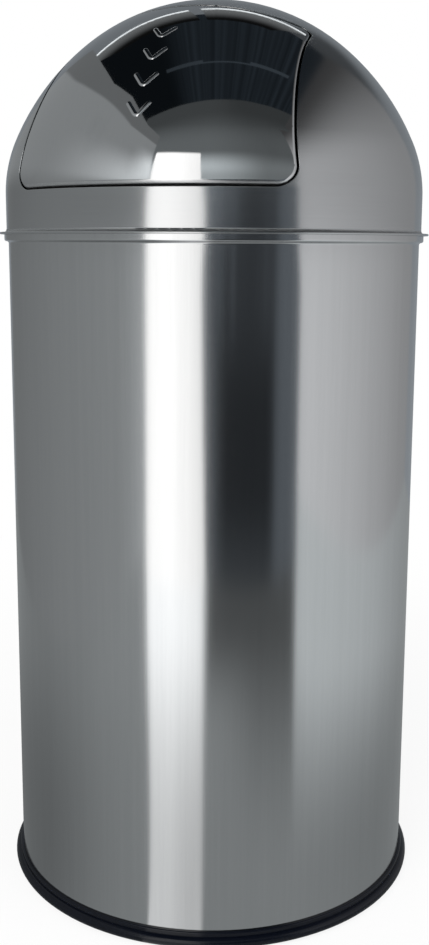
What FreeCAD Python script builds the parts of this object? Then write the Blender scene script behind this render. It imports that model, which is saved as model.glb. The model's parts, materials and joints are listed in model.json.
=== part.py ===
"""Push-flap waste bin: steel body, domed lid with a sprung flap, and a lift-out liner.

Millimetres, +Z up. The origin is the centre of the base on the floor, and the flap faces -Y.
"Forward" below means towards -Y, and "side" is -1 for the part at -X and +1 for the part at +X.
"""
import FreeCAD, Part
import math
import os
import Sketcher

SIZES = {
    # Body: a rolled tube whose mouth steps out into a collar
    "body_diameter": 350.0,
    "body_sheet": 1.0,
    "rim_height": 560.5,
    "collar_step": 3.5,
    "collar_height": 7.3,
    "collar_slope": 3.6,
    "foot_height": 2.5,
    # Bottom: a pressed disc with a turned-down edge
    "base_sheet": 1.0,
    "base_height": 15.0,
    "base_fit": 0.1,
    "base_panel_radius": 130.0,
    "base_panel_rise": 4.0,
    "base_panel_run": 6.0,
    # Base ring: a moulded channel pushed over the bottom edge
    "ring_height": 13.0,
    "ring_bulge": 6.6,
    "ring_bead_radius": 4.5,
    "ring_lip": 2.4,
    "ring_lip_round": 1.2,
    "ring_clearance": 0.15,
    "ring_inner_wall": 3.0,
    "ring_inner_height": 10.0,
    # Lid: a spun dome with a folded flange that sits on the collar
    "lid_fit": 1.0,
    "lid_sheet": 1.0,
    "seat_gap": 0.2,
    "flange_reach": 6.2,
    "flange_thickness": 1.8,
    "flange_fillet": 2.6,
    "spigot_gap": 0.1,
    "lid_wall": 29.9,
    "dome_lower_radius": 110.0,
    "dome_lower_angle": 24.0,
    "dome_upper_radius": 205.0,
    "dome_upper_angle": 52.0,
    # Window in the dome, and the gap round the flap in it
    "window_sill": 31.5,
    "window_half_width": 116.4,
    "window_taper_angle": 9.0,
    "window_crown": 69.0,
    "window_tilt_angle": 35.0,
    "window_lower_corner": 14.5,
    "window_upper_corner": 12.0,
    "window_edge_round": 0.5,
    "flap_gap": 1.3,
    "sill_gap": 0.7,
    # Flap: a pressed pan with bent edges
    "flap_sheet": 1.0,
    "flap_depth": 9.0,
    "flap_bend": 4.0,
    # Hinge: pin, lid brackets, flap ears and pin caps
    "hinge_forward": 37.5,
    "pin_diameter": 6.0,
    "running_clearance": 0.05,
    "weld_gap": 0.1,
    "eye_radius": 7.0,
    "ear_spacing": 57.0,
    "ear_sheet": 2.0,
    "ear_foot": 14.0,
    "ear_foot_forward": 80.0,
    "ear_foot_width": 26.0,
    "bracket_gap": 2.0,
    "bracket_sheet": 2.0,
    "bracket_foot": 14.0,
    "cap_radius": 6.5,
    "cap_depth": 5.0,
    "cap_wall": 1.5,
    "cap_gap": 0.3,
    # Return springs on the hinge pin
    "spring_wire": 1.8,
    "spring_coil_radius": 5.4,
    "spring_pitch": 2.4,
    "spring_ear_gap": 11.0,
    "spring_tip_gap": 0.4,
    # Stops that end the flap's outward swing
    "stop_spacing": 60.0,
    "stop_width": 16.0,
    "stop_sheet": 1.2,
    "stop_rise": 20.0,
    "stop_drop": 15.0,
    "bumper_radius": 5.0,
    "bumper_drop": 8.0,
    "bumper_gap": 0.3,
    # Liner: an open bucket with a rolled rim
    "liner_side_gap": 11.0,
    "liner_sheet": 0.8,
    "liner_rim_drop": 20.3,
    "liner_curl": 3.2,
    "liner_curl_angle": 70.0,
    "liner_recess": 10.0,
    "liner_base_sheet": 0.8,
    "liner_base_fit": 0.1,
    # Bail: a wire handle in two riveted ears
    "bail_wire": 5.0,
    "bail_rest_gap": 0.4,
    "bail_side_gap": 2.0,
    "bail_bend": 6.0,
    "bail_leg": 8.0,
    "bail_tail": 4.5,
    "bail_clearance": 0.08,
    "bail_ear_sheet": 2.0,
    "bail_ear_radius": 9.0,
    "bail_ear_drop": 36.0,
    "rivet_radius": 2.0,
    "rivet_head_radius": 4.0,
    "rivet_head_height": 1.2,
    "rivet_margin": 6.0,
    "rivet_pitch": 14.0,
    "rivet_clearance": 0.05,
    # How far every cutting tool runs past the material
    "overrun": 20.0,
}
SPRING_TURNS = 6
SIDES = {"left": -1, "right": 1}

doc = FreeCAD.newDocument("waste_bin")
sheet = doc.addObject("Spreadsheet::Sheet", "params")
for row, (alias, number) in enumerate(SIZES.items(), start=1):
    sheet.set(f"A{row}", str(number))
    sheet.setAlias(f"A{row}", alias)
doc.recompute()


class Size:
    """A size worked out from the sheet: its number, and the same sum as an expression."""

    def __init__(self, text, number):
        self.text = text
        self.number = number

    def __float__(self):
        return float(self.number)

    def __add__(self, other):
        other = as_size(other)
        return Size(f"({self.text} + {other.text})", self.number + other.number)

    def __sub__(self, other):
        other = as_size(other)
        return Size(f"({self.text} - {other.text})", self.number - other.number)

    def __mul__(self, other):
        other = as_size(other)
        return Size(f"({self.text} * {other.text})", self.number * other.number)

    def __truediv__(self, other):
        other = as_size(other)
        return Size(f"({self.text} / {other.text})", self.number / other.number)

    def __neg__(self):
        return Size(f"(0 - {self.text})", -self.number)


def as_size(value):
    return value if isinstance(value, Size) else Size(str(value), float(value))


def cos_of(angle):
    return Size(f"cos({angle.text})", math.cos(math.radians(angle.number)))


def sin_of(angle):
    return Size(f"sin({angle.text})", math.sin(math.radians(angle.number)))


def tan_of(angle):
    return Size(f"tan({angle.text})", math.tan(math.radians(angle.number)))


def root_of(square):
    return Size(f"sqrt({square.text})", math.sqrt(square.number))


def leg_of(hypotenuse, other_leg):
    """The third side of a right triangle."""
    return root_of(hypotenuse * hypotenuse - other_leg * other_leg)


cell = {alias: Size(f"params.{alias}", float(sheet.get(alias))) for alias in SIZES}
zero = as_size(0)
overrun = cell["overrun"]

# Places shared by several pieces

body_radius = cell["body_diameter"] / 2
body_inside = body_radius - cell["body_sheet"]
rim_height = cell["rim_height"]
foot_height = cell["foot_height"]

collar_radius = body_radius + cell["collar_step"]
collar_inside = collar_radius - cell["body_sheet"]
collar_low = rim_height - cell["collar_height"]
collar_face = collar_low + cell["collar_slope"]

lid_radius = collar_inside - cell["lid_fit"]
flange_low = rim_height + cell["seat_gap"]
flange_top = flange_low + cell["flange_thickness"]
curve_low = flange_top + cell["lid_wall"]

lower_radius = cell["dome_lower_radius"]
upper_radius = cell["dome_upper_radius"]
lower_angle = cell["dome_lower_angle"]
upper_angle = cell["dome_upper_angle"]
lower_centre = (lid_radius - lower_radius, curve_low)
upper_centre = (
    lower_centre[0] + (lower_radius - upper_radius) * cos_of(lower_angle),
    lower_centre[1] + (lower_radius - upper_radius) * sin_of(lower_angle),
)
crown_radius = upper_radius + upper_centre[0] / cos_of(upper_angle)
crown_centre = (zero, upper_centre[1] + (upper_radius - crown_radius) * sin_of(upper_angle))
dome_top = crown_centre[1] + crown_radius

window_sill = flange_top + cell["window_sill"]
window_crown = cell["window_crown"]
window_crown_height = crown_centre[1] + leg_of(crown_radius, window_crown)
tilt_slope = tan_of(cell["window_tilt_angle"])

hinge_forward = cell["hinge_forward"]
hinge_height = window_crown_height - (window_crown - hinge_forward) * tilt_slope
pin_radius = cell["pin_diameter"] / 2
pin_hole_radius = pin_radius + cell["running_clearance"]
eye_radius = cell["eye_radius"]

ear_near = cell["ear_spacing"]
ear_far = ear_near + cell["ear_sheet"]
bracket_near = ear_far + cell["bracket_gap"]
bracket_far = bracket_near + cell["bracket_sheet"]

flap_depth = cell["flap_depth"]
flap_back = cell["flap_sheet"] + cell["weld_gap"]
lid_back = cell["lid_sheet"] + cell["weld_gap"]

liner_radius = body_inside - cell["liner_side_gap"]
liner_inside = liner_radius - cell["liner_sheet"]
liner_low = cell["base_height"] + cell["seat_gap"]
liner_top = rim_height - cell["liner_rim_drop"]

bail_radius = cell["bail_wire"] / 2
bail_pivot = liner_top + cell["bail_rest_gap"] + bail_radius
ear_outer = leg_of(liner_inside, cell["bail_ear_radius"]) - cell["weld_gap"]
ear_inner = ear_outer - cell["bail_ear_sheet"]


# Sketches and features


def put(holder, name, size):
    """Bind one property of an object to the sheet."""
    holder.setExpression(name, as_size(size).text)


def pin_vertex(sketch, geometry, vertex, x=None, y=None):
    """Tie a sketch vertex to the sheet; a zero puts it on the sketch's own axis."""
    for kind, axis, size in (("DistanceX", -2, x), ("DistanceY", -1, y)):
        if size is None:
            continue
        if size.text == zero.text:
            sketch.addConstraint(Sketcher.Constraint("PointOnObject", geometry, vertex, axis))
            continue
        index = sketch.addConstraint(Sketcher.Constraint(kind, -1, 1, geometry, vertex, float(size)))
        put(sketch, f"Constraints[{index}]", size)


def point(place):
    return FreeCAD.Vector(float(place[0]), float(place[1]), 0)


def arc_between(start, end, centre, clockwise):
    """The arc as a sketch holds it, always anticlockwise, with its start and end vertex."""
    spoke = point(start) - point(centre)
    first = math.atan2(spoke.y, spoke.x)
    spoke_end = point(end) - point(centre)
    last = math.atan2(spoke_end.y, spoke_end.x)
    if clockwise:
        first, last = last, first
    if last <= first:
        last += 2 * math.pi
    circle = Part.Circle(point(centre), FreeCAD.Vector(0, 0, 1), spoke.Length)
    vertices = (2, 1) if clockwise else (1, 2)
    return Part.ArcOfCircle(circle, first, last), vertices


def draw(sketch, start, steps, closed=True):
    """Draw a chain of lines and arcs. A line step is its end, and an arc step is a dict."""
    here = start
    joints = []
    for number, step in enumerate(steps):
        last = closed and number == len(steps) - 1
        if isinstance(step, dict):
            end = step["end"]
            shape, (first, final) = arc_between(here, end, step["centre"], step.get("clockwise", False))
            geometry = sketch.addGeometry(shape)
            pin_vertex(sketch, geometry, 3, *step["centre"])
        else:
            end = step
            first, final = 1, 2
            geometry = sketch.addGeometry(Part.LineSegment(point(here), point(end)))
        if joints:
            sketch.addConstraint(Sketcher.Constraint("Coincident", *joints[-1], geometry, first))
        else:
            opening = (geometry, first)
            pin_vertex(sketch, geometry, first, *start)
        if last:
            sketch.addConstraint(Sketcher.Constraint("Coincident", geometry, final, *opening))
        elif not isinstance(step, dict):
            pin_vertex(sketch, geometry, final, *end)
        elif step.get("tie", "x") == "x":
            pin_vertex(sketch, geometry, final, x=end[0])
        else:
            pin_vertex(sketch, geometry, final, y=end[1])
        joints.append((geometry, final))
        here = end


def sketch_in(body, role, name):
    sketch = body.newObject("Sketcher::SketchObject", name)
    plane = next(item for item in body.Origin.OriginFeatures if item.Role == role)
    sketch.AttachmentSupport = [(plane, "")]
    sketch.MapMode = "FlatFace"
    return sketch


def revolved(label, start, steps):
    """A body turned about the Z axis from an outline of radius and height."""
    body = doc.addObject("PartDesign::Body", label)
    sketch = sketch_in(body, "XZ_Plane", f"{label}_outline")
    draw(sketch, start, steps)
    turn = body.newObject("PartDesign::Revolution", f"{label}_turn")
    turn.Profile = sketch
    turn.ReferenceAxis = (sketch, ["V_Axis"])
    turn.Angle = 360
    doc.recompute()
    return body


def block(name, x_span, y_span, z_span):
    """A box between two limits on each axis."""
    box = doc.addObject("Part::Box", name)
    for axis, side, (low, high) in zip("xyz", ("Length", "Width", "Height"), (x_span, y_span, z_span)):
        put(box, side, high - low)
        put(box, f"Placement.Base.{axis}", low)
    return box


def rod_along_x(name, radius, x_span, y, z):
    rod = doc.addObject("Part::Cylinder", name)
    rod.Placement.Rotation = FreeCAD.Rotation(FreeCAD.Vector(0, 1, 0), 90)
    put(rod, "Radius", radius)
    put(rod, "Height", x_span[1] - x_span[0])
    put(rod, "Placement.Base.x", x_span[0])
    put(rod, "Placement.Base.y", y)
    put(rod, "Placement.Base.z", z)
    return rod


def boolean(kind, label, base, tool):
    result = doc.addObject(f"Part::{kind}", label)
    result.Base = base
    result.Tool = tool
    return result


def fused(label, shapes):
    result = doc.addObject("Part::MultiFuse", label)
    result.Shapes = shapes
    return result


def span(side, near, far):
    """Limits along X from a near and a far distance on one side."""
    return (near, far) if side > 0 else (-far, -near)


def front(near, far):
    """Limits along Y from a near and a far forward distance."""
    return (-far, -near)


def rounded(label, base, radii):
    """Fillet the edges that radii names: a list of edge numbers with a size each."""
    fillet = doc.addObject("Part::Fillet", label)
    fillet.Base = base
    fillet.Edges = [(edge, float(size), float(size)) for edge, size in radii]
    doc.recompute()
    return fillet


# Body


def body_shell():
    """The tube, with two equal bends that step it out into the collar."""
    wall = cell["body_sheet"]
    step = cell["collar_step"]
    slope = cell["collar_slope"]
    bend = (step * step + slope * slope) / (step * 4)
    lower_bend = (body_radius + bend, collar_low)
    upper_bend = (collar_radius - bend, collar_face)
    middle = (body_radius + step / 2, collar_low + slope / 2)
    inner_share = (bend + wall) / (bend * 2)
    inner_middle = (lower_bend[0] + (step - bend * 2) * inner_share, collar_low + slope * inner_share)
    return revolved("body_shell", (body_inside, foot_height), [
        (body_radius, foot_height),
        (body_radius, collar_low),
        {"centre": lower_bend, "end": middle, "clockwise": True},
        {"centre": upper_bend, "end": (collar_radius, collar_face), "tie": "y"},
        (collar_radius, rim_height),
        (collar_inside, rim_height),
        (collar_inside, collar_face),
        {"centre": upper_bend, "end": inner_middle, "clockwise": True},
        {"centre": lower_bend, "end": (body_inside, collar_low), "tie": "y"},
        (body_inside, foot_height),
    ])


def body_base():
    edge = body_inside - cell["base_fit"]
    inner_edge = edge - cell["base_sheet"]
    top = cell["base_height"]
    under = top - cell["base_sheet"]
    panel = cell["base_panel_radius"]
    slope_end = panel + cell["base_panel_run"]
    rise = cell["base_panel_rise"]
    return revolved("body_base", (zero, under + rise), [
        (panel, under + rise),
        (slope_end, under),
        (inner_edge, under),
        (inner_edge, foot_height),
        (edge, foot_height),
        (edge, top),
        (slope_end, top),
        (panel, top + rise),
        (zero, top + rise),
        (zero, under + rise),
    ])


def base_ring():
    slot_outer = body_radius + cell["ring_clearance"]
    slot_inner = body_inside - cell["base_fit"] - cell["base_sheet"] - cell["ring_clearance"]
    inner_face = slot_inner - cell["ring_inner_wall"]
    bead = cell["ring_bead_radius"]
    bead_centre = (body_radius + cell["ring_bulge"] - bead, bead)
    lip = body_radius + cell["ring_lip"]
    bead_top = bead + leg_of(bead, lip - bead_centre[0])
    top = cell["ring_height"]
    soften = cell["ring_lip_round"]
    return revolved("base_ring", (inner_face, zero), [
        (bead_centre[0], zero),
        {"centre": bead_centre, "end": (lip, bead_top)},
        (lip, top - soften),
        {"centre": (lip - soften, top - soften), "end": (lip - soften, top)},
        (slot_outer, top),
        (slot_outer, foot_height),
        (slot_inner, foot_height),
        (slot_inner, cell["ring_inner_height"]),
        (inner_face, cell["ring_inner_height"]),
        (inner_face, zero),
    ])


# Lid


def dome_joints(offset):
    """Where the three arcs of the dome meet, on a skin that lies inside it by offset."""
    lower = lower_radius - offset
    upper = upper_radius - offset
    return (
        (lower_centre[0] + lower * cos_of(lower_angle), lower_centre[1] + lower * sin_of(lower_angle)),
        (upper_centre[0] + upper * cos_of(upper_angle), upper_centre[1] + upper * sin_of(upper_angle)),
        (zero, dome_top - offset),
    )


def dome_up(offset):
    """Steps from the wall up to the crown."""
    first, second, crown = dome_joints(offset)
    return [
        (lid_radius - offset, curve_low),
        {"centre": lower_centre, "end": first},
        {"centre": upper_centre, "end": second},
        {"centre": crown_centre, "end": crown},
    ]


def dome_down(offset):
    """Steps from the crown down to the top of the wall."""
    first, second, crown = dome_joints(offset)
    return [
        crown,
        {"centre": crown_centre, "end": second, "clockwise": True},
        {"centre": upper_centre, "end": first, "clockwise": True},
        {"centre": lower_centre, "end": (lid_radius - offset, curve_low), "clockwise": True, "tie": "y"},
    ]


def dome_layer(label, outer, inner):
    """A skin of the dome's form, between two distances inside its outer face."""
    start = (lid_radius - inner, flange_top)
    steps = [(lid_radius - outer, flange_top)] + dome_up(outer) + dome_down(inner) + [start]
    return revolved(label, start, steps)


def dome_filling(label, offset):
    """Everything inside a skin of the dome's form."""
    start = (zero, flange_top)
    return revolved(label, start, [(lid_radius - offset, flange_top)] + dome_up(offset) + [start])


def window_tool(label, inset, lift):
    """The tapered solid whose sides cut the window, drawn in by inset and raised from the sill by lift."""
    low = window_sill + lift
    high = dome_top + overrun
    ahead = lid_radius + overrun
    taper = cell["window_taper_angle"]
    half_low = cell["window_half_width"] - inset / cos_of(taper) - lift * tan_of(taper)
    half_high = half_low - (high - low) * tan_of(taper)
    shift = inset / sin_of(cell["window_tilt_angle"])
    wedge = doc.addObject("Part::Wedge", f"{label}_wedge")
    wedge.Placement.Rotation = FreeCAD.Rotation(FreeCAD.Vector(1, 0, 0), 90)
    sizes = {
        "Xmin": -half_low, "Xmax": half_low, "X2min": -half_high, "X2max": half_high,
        "Ymin": low, "Ymax": high,
        "Zmin": window_crown + shift + (low - window_crown_height) / tilt_slope, "Zmax": ahead,
        "Z2min": window_crown + shift + (high - window_crown_height) / tilt_slope, "Z2max": ahead,
    }
    for name, size in sizes.items():
        put(wedge, name, size)
    front_half = block(f"{label}_front", (-lid_radius, lid_radius), front(zero, ahead + overrun), (low, high))
    doc.recompute()
    tool = boolean("Common", f"{label}_block", wedge, front_half)
    doc.recompute()
    lower = cell["window_lower_corner"] - inset
    upper = cell["window_upper_corner"] - inset
    nearly = float(cell["weld_gap"]) / 2
    radii = []
    for number, edge in enumerate(tool.Shape.Edges, start=1):
        first, last = (vertex.Point for vertex in edge.Vertexes)
        if abs(first.y - last.y) < float(inset) + float(overrun) / 2:
            continue
        if max(first.z, last.z) < float(low) + nearly:
            radii.append((number, lower))
        elif abs(first.z - last.z) > nearly:
            radii.append((number, upper))
    return rounded(label, tool, radii)


def lid_dome():
    tip = cell["flange_thickness"] / 2
    tip_centre = (lid_radius + cell["flange_reach"] - tip, flange_low + tip)
    fillet = cell["flange_fillet"]
    inside = lid_radius - cell["lid_sheet"]
    low = collar_face + cell["spigot_gap"]
    start = (inside, low)
    outside = [
        (lid_radius, low),
        (lid_radius, flange_low),
        (tip_centre[0], flange_low),
        {"centre": tip_centre, "end": (tip_centre[0], flange_top)},
        (lid_radius + fillet, flange_top),
        {
            "centre": (lid_radius + fillet, flange_top + fillet),
            "end": (lid_radius, flange_top + fillet),
            "clockwise": True,
            "tie": "y",
        },
    ]
    spun = revolved("lid_spun", start, outside + dome_up(zero) + dome_down(cell["lid_sheet"]) + [start])
    cut = boolean("Cut", "lid_cut", spun, window_tool("lid_window", zero, zero))
    doc.recompute()
    above_flange = float(flange_top + fillet + overrun / 2)
    rim = [
        number for number in skin_edges(cut.Shape, zero)
        if cut.Shape.Edges[number - 1].CenterOfMass.z > above_flange
    ]
    return rounded("lid_dome", cut, [(number, cell["window_edge_round"]) for number in rim])


def dome_gap(place):
    """How far a point lies inside the dome's outer face."""
    radius = math.hypot(place.x, place.y)
    for centre, size, angle in (
        (crown_centre, crown_radius, upper_angle),
        (upper_centre, upper_radius, lower_angle),
        (lower_centre, lower_radius, zero),
    ):
        across = radius - float(centre[0])
        up = place.z - float(centre[1])
        if math.degrees(math.atan2(up, across)) >= float(angle):
            return float(size) - math.hypot(across, up)
    return float(lid_radius) - radius


def skin_edges(shape, offset):
    """Numbers of the edges round the outer skin of a flap block."""
    nearly = float(cell["weld_gap"]) / 2

    def on_skin(face):
        low_u, high_u, low_v, high_v = face.ParameterRange
        middle = face.valueAt((low_u + high_u) / 2, (low_v + high_v) / 2)
        return abs(dome_gap(middle) - float(offset)) < nearly

    skins = [face for face in shape.Faces if on_skin(face)]
    sides = [face for face in shape.Faces if not on_skin(face)]
    found = []
    for number, edge in enumerate(shape.Edges, start=1):
        touches_skin = any(edge.isSame(other) for face in skins for other in face.Edges)
        touches_side = any(edge.isSame(other) for face in sides for other in face.Edges)
        if touches_skin and touches_side:
            found.append(number)
    return found


def flap_form(label, offset, depth, inset, lift, bend):
    """A solid with the flap's outline and bent edge, offset inwards from the dome's face."""
    layer = dome_layer(f"{label}_layer", offset, depth)
    raw = boolean("Common", f"{label}_raw", layer, window_tool(f"{label}_tool", inset, lift))
    doc.recompute()
    return rounded(label, raw, [(edge, bend) for edge in skin_edges(raw.Shape, offset)])


def push_flap():
    wall = cell["flap_sheet"]
    bend = cell["flap_bend"]
    gap = cell["flap_gap"]
    lift = cell["sill_gap"]
    outer = flap_form("flap_outer", zero, flap_depth, gap, lift, bend)
    inner = flap_form("flap_inner", wall, flap_depth + overrun, gap + wall, lift + wall, bend - wall)
    return boolean("Cut", "push_flap", outer, inner)


# Hinge


def hinge_bracket(name, side, filling, layer):
    """A lid bracket: a tongue with an eye, and a foot welded to the inside of the dome."""
    plate = span(side, bracket_near, bracket_far)
    reach = span(side, bracket_near, bracket_near + cell["bracket_foot"])
    width = front(hinge_forward - eye_radius, hinge_forward + eye_radius)
    rise = (hinge_height, dome_top)
    tongue = boolean("Common", f"{name}_tongue", block(f"{name}_bar", plate, width, rise), filling)
    foot = boolean("Common", f"{name}_foot", block(f"{name}_patch", reach, width, rise), layer)
    eye = rod_along_x(f"{name}_eye", eye_radius, plate, -hinge_forward, hinge_height)
    solid = fused(f"{name}_solid", [tongue, foot, eye])
    hole = rod_along_x(f"{name}_hole", pin_hole_radius, plate, -hinge_forward, hinge_height)
    return boolean("Cut", name, solid, hole)


def flap_ear(name, side, filling, layer):
    """A flap ear: a bar with an eye, and a foot welded to the inside of the flap."""
    plate = span(side, ear_near, ear_far)
    reach = span(side, ear_far - cell["ear_foot"], ear_far)
    rise = (hinge_height - eye_radius, hinge_height + eye_radius)
    ahead = cell["ear_foot_forward"]
    bar_span = front(hinge_forward, ahead + cell["ear_foot_width"])
    bar = boolean("Common", f"{name}_arm", block(f"{name}_bar", plate, bar_span, rise), filling)
    patch_span = front(ahead, ahead + cell["ear_foot_width"])
    patch_rise = (hinge_height - overrun, hinge_height + overrun)
    foot = boolean("Common", f"{name}_foot", block(f"{name}_patch", reach, patch_span, patch_rise), layer)
    eye = rod_along_x(f"{name}_eye", eye_radius, plate, -hinge_forward, hinge_height)
    solid = fused(f"{name}_solid", [bar, foot, eye])
    hole = rod_along_x(f"{name}_hole", pin_hole_radius, plate, -hinge_forward, hinge_height)
    return boolean("Cut", name, solid, hole)


cap_near = bracket_far + cell["cap_gap"]
pin_half_length = cap_near + cell["cap_depth"] - cell["cap_wall"]


def hinge_pin():
    return rod_along_x("hinge_pin", pin_radius, (-pin_half_length, pin_half_length), -hinge_forward, hinge_height)


def pin_cap(name, side):
    outside = span(side, cap_near, cap_near + cell["cap_depth"])
    cap = rod_along_x(f"{name}_solid", cell["cap_radius"], outside, -hinge_forward, hinge_height)
    bore = rod_along_x(
        f"{name}_bore", pin_hole_radius, span(side, cap_near, pin_half_length + cell["running_clearance"]),
        -hinge_forward, hinge_height,
    )
    bored = boolean("Cut", f"{name}_bored", cap, bore)
    doc.recompute()
    far = side * float(cap_near + cell["cap_depth"])
    nearly = float(cell["running_clearance"])
    rim = [
        number for number, edge in enumerate(bored.Shape.Edges, start=1)
        if abs(edge.BoundBox.XMin - far) < nearly and abs(edge.BoundBox.XMax - far) < nearly
    ]
    return rounded(name, bored, [(number, cell["cap_wall"]) for number in rim])


# Return springs


def through_arc(start, heading, end):
    """The arc that leaves start along heading and ends at end, and its middle point."""
    chord = end - start
    along = FreeCAD.Vector(chord).normalize()
    half_turn = heading.getAngle(along)
    middle_way = (heading + along).normalize()
    middle = start + middle_way * (chord.Length / 2 / math.cos(half_turn / 2))
    return Part.Arc(start, middle, end).toShape()


def biarc(start, heading, end, end_heading):
    """Two arcs that join two points along given headings."""
    chord = end - start
    both = heading + end_heading
    spread = 2 * (1 - heading.dot(end_heading))
    reach = (math.sqrt(chord.dot(both) ** 2 + spread * chord.dot(chord)) - chord.dot(both)) / spread
    middle = (start + end + (heading - end_heading) * reach) / 2
    back = through_arc(end, end_heading * -1, middle)
    forward = through_arc(start, heading, middle)
    return [forward, Part.Edge(back.Curve.copy(), back.FirstParameter, back.LastParameter)]


def spring_points(side):
    """Place and heading at each quarter turn of the coil, from the dome leg to the flap leg."""
    radius = float(cell["spring_coil_radius"])
    start = float(ear_near - cell["spring_ear_gap"])
    step = float(cell["spring_pitch"]) / 4
    quarters = 4 * SPRING_TURNS + 3
    rise = step * 2 / math.pi
    places = []
    for quarter in range(quarters + 1):
        turn = -quarter * math.pi / 2
        x = side * (start - step * quarter)
        ahead = float(hinge_forward) + radius * math.cos(turn)
        height = float(hinge_height) + radius * math.sin(turn)
        lead = -side * rise if 0 < quarter < quarters else 0
        heading = FreeCAD.Vector(lead, -radius * math.sin(turn), -radius * math.cos(turn))
        places.append((FreeCAD.Vector(x, -ahead, height), heading.normalize()))
    return places


def least_gap(wire, wire_diameter):
    """The least clear distance between turns that lie beside each other."""
    spacing = wire_diameter / 4
    points = wire.discretize(Distance=spacing)
    skip = int(math.pi * float(cell["spring_coil_radius"]) / spacing)
    nearest = min(
        (first - second).Length
        for number, first in enumerate(points)
        for second in points[number + skip:]
    )
    return nearest - wire_diameter


def torsion_spring(name, side):
    """A coil on the pin: one leg stands against the dome, the other pushes the flap out."""
    places = spring_points(side)
    wire_radius = float(cell["spring_wire"]) / 2
    tip_gap = float(cell["spring_tip_gap"])
    first = places[0][0]
    last = places[-1][0]
    crown_z = float(crown_centre[1])
    under_dome = float(crown_radius - cell["lid_sheet"]) - tip_gap
    far_edge = math.hypot(first.x, first.y - wire_radius)
    dome_tip = FreeCAD.Vector(first.x, first.y, crown_z + math.sqrt(under_dome ** 2 - far_edge ** 2))
    under_flap = float(crown_radius - cell["flap_sheet"]) - tip_gap
    flap_radius = math.sqrt(under_flap ** 2 - (last.z + wire_radius - crown_z) ** 2)
    flap_tip = FreeCAD.Vector(last.x, -math.sqrt(flap_radius ** 2 - last.x ** 2), last.z)
    edges = [Part.LineSegment(dome_tip, first).toShape()]
    for (start, heading), (end, end_heading) in zip(places, places[1:]):
        edges += biarc(start, heading, end, end_heading)
    edges.append(Part.LineSegment(last, flap_tip).toShape())
    path = Part.Wire(Part.__sortEdges__(edges))
    ring = Part.Wire(Part.makeCircle(wire_radius, dome_tip, FreeCAD.Vector(0, 0, -1)))
    spring = doc.addObject("Part::Feature", name)
    spring.Shape = path.makePipeShell([ring], True, False)
    print(name, "least gap between turns", round(least_gap(path, 2 * wire_radius), 3), "mm")
    return spring


# Flap stops


def flap_stop(name, side, layer):
    """A strip behind the lower corner of the flap that reaches down behind the sill."""
    half = cell["stop_width"] / 2
    across = span(side, cell["stop_spacing"] - half, cell["stop_spacing"] + half)
    upright = (window_sill - cell["stop_drop"], window_sill + cell["stop_rise"])
    return boolean("Common", name, block(f"{name}_box", across, front(zero, lid_radius), upright), layer)


def stop_bumpers():
    """Two rubber plugs between the stops and the inside of the lid wall."""
    inner = lid_radius - flap_depth
    outer = lid_radius - cell["lid_sheet"] - cell["bumper_gap"]
    plugs = []
    for name, side in SIDES.items():
        plug = doc.addObject("Part::Cylinder", f"bumper_{name}")
        put(plug, "Radius", cell["bumper_radius"])
        put(plug, "Height", outer - inner)
        bearing = math.asin(float(cell["stop_spacing"]) / float(lid_radius))
        outwards = FreeCAD.Vector(side * math.sin(bearing), -math.cos(bearing), 0)
        plug.Placement.Rotation = FreeCAD.Rotation(FreeCAD.Vector(0, 0, 1), outwards)
        share_side = cell["stop_spacing"] / lid_radius
        share_front = leg_of(lid_radius, cell["stop_spacing"]) / lid_radius
        put(plug, "Placement.Base.x", inner * share_side * side)
        put(plug, "Placement.Base.y", -(inner * share_front))
        put(plug, "Placement.Base.z", window_sill - cell["bumper_drop"])
        plugs.append(plug)
    group = doc.addObject("Part::Compound", "stop_bumpers")
    group.Links = plugs
    return group


# Liner


def rivet_heights():
    first = bail_pivot - cell["bail_ear_drop"] + cell["rivet_margin"]
    return [first, first + cell["rivet_pitch"]]


def rivet_holes(name, x_span):
    radius = cell["rivet_radius"] + cell["rivet_clearance"]
    return [
        rod_along_x(f"{name}_hole_{number}", radius, x_span, zero, height)
        for number, height in enumerate(rivet_heights())
    ]


def liner_wall():
    curl = cell["liner_curl"]
    inner_curl = curl - cell["liner_sheet"]
    centre = (liner_inside + curl, liner_top - curl)
    end_angle = cell["liner_curl_angle"]
    outer_end = (centre[0] + curl * cos_of(end_angle), centre[1] - curl * sin_of(end_angle))
    inner_end = (centre[0] + inner_curl * cos_of(end_angle), centre[1] - inner_curl * sin_of(end_angle))
    rolled = revolved("liner_rolled", (liner_inside, liner_low), [
        (liner_radius, liner_low),
        (liner_radius, centre[1]),
        {"centre": centre, "end": inner_end, "clockwise": True},
        outer_end,
        {"centre": centre, "end": (liner_inside, centre[1]), "tie": "y"},
        (liner_inside, liner_low),
    ])
    holes = []
    for name, side in SIDES.items():
        holes += rivet_holes(f"liner_{name}", span(side, liner_inside - overrun, liner_radius + overrun))
    return boolean("Cut", "liner_wall", rolled, fused("liner_holes", holes))


def liner_base():
    edge = liner_inside - cell["liner_base_fit"]
    inner_edge = edge - cell["liner_base_sheet"]
    top = liner_low + cell["liner_recess"]
    under = top - cell["liner_base_sheet"]
    return revolved("liner_base", (zero, under), [
        (inner_edge, under),
        (inner_edge, liner_low),
        (edge, liner_low),
        (edge, top),
        (zero, top),
        (zero, under),
    ])


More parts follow.
